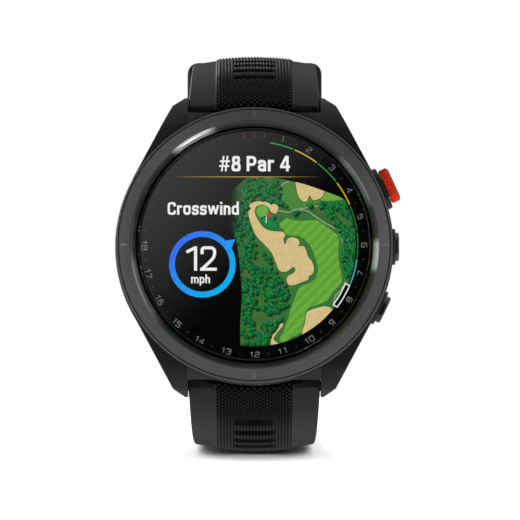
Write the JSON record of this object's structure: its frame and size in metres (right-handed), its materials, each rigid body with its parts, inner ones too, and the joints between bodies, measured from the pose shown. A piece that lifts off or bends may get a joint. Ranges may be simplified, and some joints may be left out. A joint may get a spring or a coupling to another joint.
{
  "type": "golf gps watch",
  "caption": "Round sports watch with a colour screen under a ceramic bezel, sprung side buttons and a two-piece soft strap with a tang buckle.",
  "frame": {"origin": "centre of the flat sensor window on the case back", "axes": "+Y out of the case back, -Y out of the dial, +Z towards twelve o'clock, +X towards three o'clock and the buttons"},
  "size_m": [0.0482, 0.1186, 0.068],
  "materials": {
    "polymer": "matte black fibre-reinforced polymer",
    "ceramic": "satin dark grey ceramic",
    "cover_glass": "clear polished glass",
    "sensor_glass": "dark tinted glass",
    "seal_rubber": "soft black",
    "strap_silicone": "satin black silicone",
    "steel": "satin",
    "gunmetal": "dark coated",
    "red_metal": "orange-red anodised, knurled",
    "gold": "gold plated",
    "board": "green solder resist",
    "foil": "dull foil",
    "panel": "black display panel"
  },
  "bodies": {
    "case": {"case_middle": "polymer", "bezel": "ceramic", "lens": "cover_glass", "lens_gasket": "seal_rubber", "display_panel": "panel", "display_carrier": "polymer", "main_board": "board", "battery": "foil", "vibration_motor": "steel", "gps_antenna": "gold", "rear_gasket": "seal_rubber", "rear_cover": "polymer", "sensor_window": "sensor_glass", "sensor_board": "board", "charge_socket": "polymer", "lug_pin_upper": "steel", "lug_pin_lower": "steel", "charge_pin_1": "gold", "rear_screw_1": "steel", "charge_pin_2": "gold", "rear_screw_2": "steel", "charge_pin_3": "gold", "rear_screw_3": "steel", "charge_pin_4": "gold", "rear_screw_4": "steel", "button_upper_guard": "polymer", "button_upper_seal": "seal_rubber", "button_upper_spring": "steel", "button_upper_switch": "foil", "button_middle_guard": "polymer", "button_middle_seal": "seal_rubber", "button_middle_spring": "steel", "button_middle_switch": "foil", "button_lower_guard": "polymer", "button_lower_seal": "seal_rubber", "button_lower_spring": "steel", "button_lower_switch": "foil"},
    "button_upper": {"button_upper_cap": "red_metal", "button_upper_washer": "steel"},
    "button_middle": {"button_middle_cap": "gunmetal", "button_middle_washer": "steel"},
    "button_lower": {"button_lower_cap": "gunmetal", "button_lower_washer": "steel"},
    "band_upper": {"strap_upper": "strap_silicone", "band_hook_upper": "steel", "buckle_bar": "steel", "keeper_fixed": "strap_silicone"},
    "band_lower": {"strap_lower": "strap_silicone", "band_hook_lower": "steel"},
    "latch_upper": {"band_latch_upper": "gunmetal"},
    "latch_lower": {"band_latch_lower": "gunmetal"},
    "buckle": {"buckle_frame": "gunmetal"},
    "tang": {"buckle_tang": "steel"},
    "keeper": {"keeper_free": "strap_silicone"}
  },
  "joints": [
    {"name": "button_upper_press", "type": "slide", "parent": "case", "child": "button_upper", "axis": [-0.91, 0, -0.4147], "range_m": [0, 0.0006], "stiffness_N_per_m": 1500, "springref_m": -0.00005, "deforming": ["button_upper_spring"]},
    {"name": "button_middle_press", "type": "slide", "parent": "case", "child": "button_middle", "axis": [-1, 0, 0], "range_m": [0, 0.0006], "stiffness_N_per_m": 1500, "springref_m": -0.00005, "deforming": ["button_middle_spring"]},
    {"name": "button_lower_press", "type": "slide", "parent": "case", "child": "button_lower", "axis": [-0.8988, 0, 0.4384], "range_m": [0, 0.0006], "stiffness_N_per_m": 1500, "springref_m": -0.00005, "deforming": ["button_lower_spring"]},
    {"name": "strap_upper_swing", "type": "hinge", "parent": "case", "child": "band_upper", "pos_m": [0, -0.0038, 0.0233], "axis": [1, 0, 0], "range_deg": [-18, 12]},
    {"name": "strap_lower_swing", "type": "hinge", "parent": "case", "child": "band_lower", "pos_m": [0, -0.0038, -0.0233], "axis": [1, 0, 0], "range_deg": [-12, 15]},
    {"name": "latch_upper_release", "type": "slide", "parent": "band_upper", "child": "latch_upper", "axis": [0, 0.7448, 0.6673], "range_m": [0, 0.0022]},
    {"name": "latch_lower_release", "type": "slide", "parent": "band_lower", "child": "latch_lower", "axis": [0, 0.7448, -0.6673], "range_m": [0, 0.0022]},
    {"name": "buckle_swing", "type": "hinge", "parent": "band_upper", "child": "buckle", "pos_m": [0, 0.0602, 0.02152], "axis": [1, 0, 0], "range_deg": [-75, 15]},
    {"name": "tang_swing", "type": "hinge", "parent": "buckle", "child": "tang", "pos_m": [0, 0.0602, 0.02152], "axis": [1, 0, 0], "range_deg": [0, 85]},
    {"name": "keeper_travel", "type": "hinge", "parent": "band_upper", "child": "keeper", "pos_m": [0, 0.0143, -0.0769], "axis": [1, 0, 0], "range_deg": [-1.5, 10]}
  ]
}
